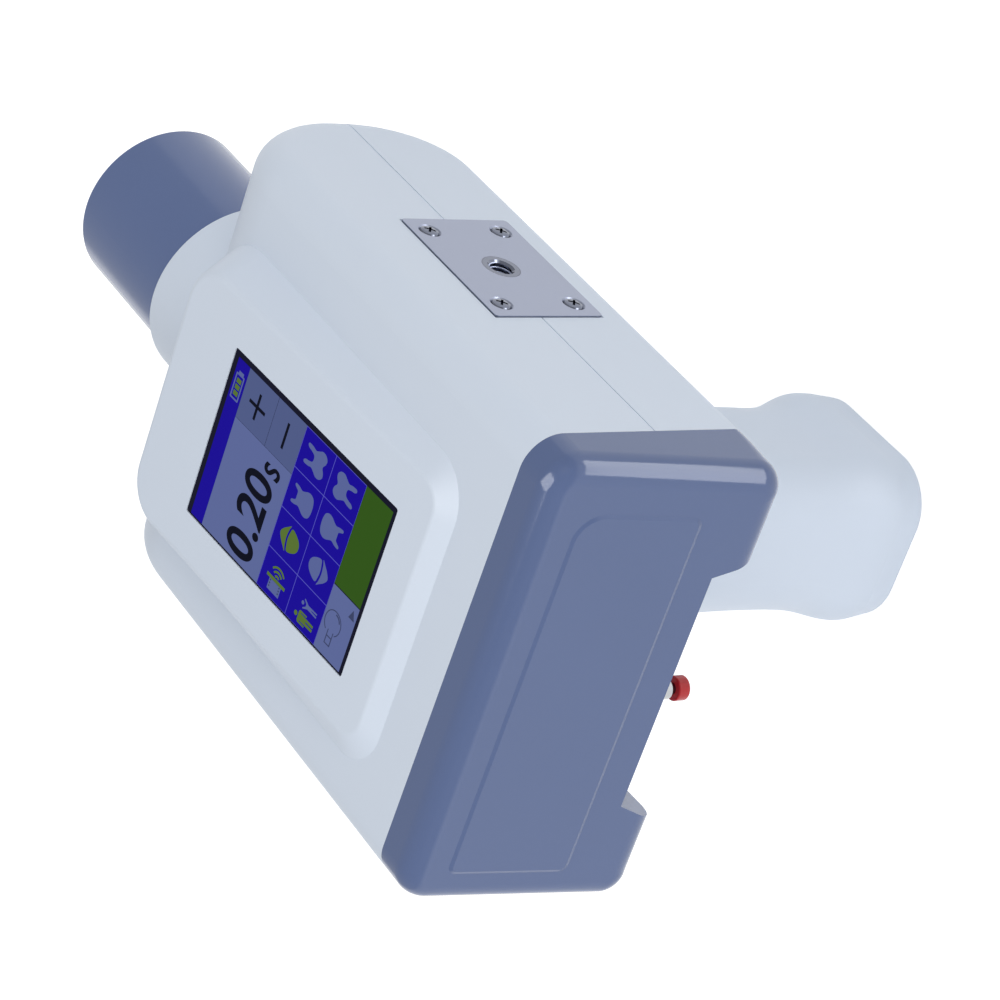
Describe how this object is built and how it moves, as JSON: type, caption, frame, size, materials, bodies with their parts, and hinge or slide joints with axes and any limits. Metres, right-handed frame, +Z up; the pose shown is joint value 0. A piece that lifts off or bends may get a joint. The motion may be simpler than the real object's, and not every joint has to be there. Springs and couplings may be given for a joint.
{
  "type": "hand-held dental x-ray unit",
  "caption": "Portable intraoral x-ray unit: rounded white housing with raised touch screen, blue-grey end cap and beam cone, waisted grip, side tripod plate, push button.",
  "frame": {"origin": "centre of the grip foot's underside, on the surface the unit stands on", "axes": "+X along the beam, towards the cone; +Y to the left when looking along the beam; +Z up"},
  "size_m": [0.3181, 0.1683, 0.2409],
  "materials": {
    "white_shell": "satin, fine texture",
    "blue_grey_shell": "semi-gloss",
    "clear_window": "smooth",
    "lead": "dull grey metal",
    "aluminium_sheet": "milled",
    "tank_black": "satin",
    "zinc_steel": "zinc plated",
    "tube_envelope": "clear",
    "copper": "machined copper",
    "cathode_steel": "polished",
    "winding_varnish": "varnished",
    "potting": "cast resin",
    "touch_glass": "glossy, dark",
    "black_foam": "closed-cell foam",
    "lcd_frame": "matt black",
    "circuit_board": "solder mask",
    "brass": "turned",
    "black_plastic": "moulded",
    "brushed_stainless": "brushed",
    "cell_wrap": "shrink wrap",
    "trigger_grey": "satin",
    "red_cap": "glossy"
  },
  "bodies": {
    "unit": {"battery_board": "circuit_board", "battery_cells": "cell_wrap", "battery_tray": "black_plastic", "beam_filter": "aluminium_sheet", "beam_window": "clear_window", "beeper": "black_plastic", "board_screws": "zinc_steel", "board_standoffs": "brass", "button_bushing": "brass", "button_nuts": "brass", "button_spring": "zinc_steel", "button_switch": "black_plastic", "charging_socket": "black_plastic", "collar_screws": "zinc_steel", "collimator_cone": "blue_grey_shell", "display_board": "circuit_board", "drive_board": "circuit_board", "drive_standoffs": "brass", "filter_ring": "aluminium_sheet", "foot_screws": "zinc_steel", "front_collar": "white_shell", "grip_bolts": "zinc_steel", "grip_bracket": "aluminium_sheet", "handle_foot": "white_shell", "handle_left": "white_shell", "handle_right": "white_shell", "handle_screws": "zinc_steel", "housing_screws": "zinc_steel", "hv_multiplier": "potting", "hv_transformer": "winding_varnish", "lcd_module": "lcd_frame", "lead_collimator": "lead", "lead_liner": "lead", "lower_housing": "white_shell", "main_board": "circuit_board", "mount_plate": "brushed_stainless", "mount_plate_screws": "brushed_stainless", "plate_backing": "aluminium_sheet", "rear_cap": "blue_grey_shell", "screen_bracket": "aluminium_sheet", "screen_gasket": "black_foam", "screen_screws": "zinc_steel", "tank_screws": "zinc_steel", "threaded_insert": "brushed_stainless", "touch_glass": "touch_glass", "trigger_spring": "zinc_steel", "trigger_switch": "black_plastic", "tube_head_lid": "tank_black", "tube_head_tank": "tank_black", "tube_saddles": "aluminium_sheet", "upper_housing": "white_shell", "xray_tube_anode": "copper", "xray_tube_cathode": "cathode_steel", "xray_tube_glass": "tube_envelope"},
    "button": {"button_cap": "red_cap", "button_plunger": "brushed_stainless"},
    "trigger": {"trigger": "trigger_grey"}
  },
  "joints": [
    {"name": "button_press", "type": "slide", "parent": "unit", "child": "button", "axis": [0, 0, 1], "range_m": [0, 0.002], "stiffness_N_per_m": 800, "deforming": ["button_spring"]},
    {"name": "trigger_pull", "type": "slide", "parent": "unit", "child": "trigger", "axis": [-1, 0, 0], "range_m": [0, 0.003], "stiffness_N_per_m": 600, "deforming": ["trigger_spring"]}
  ]
}
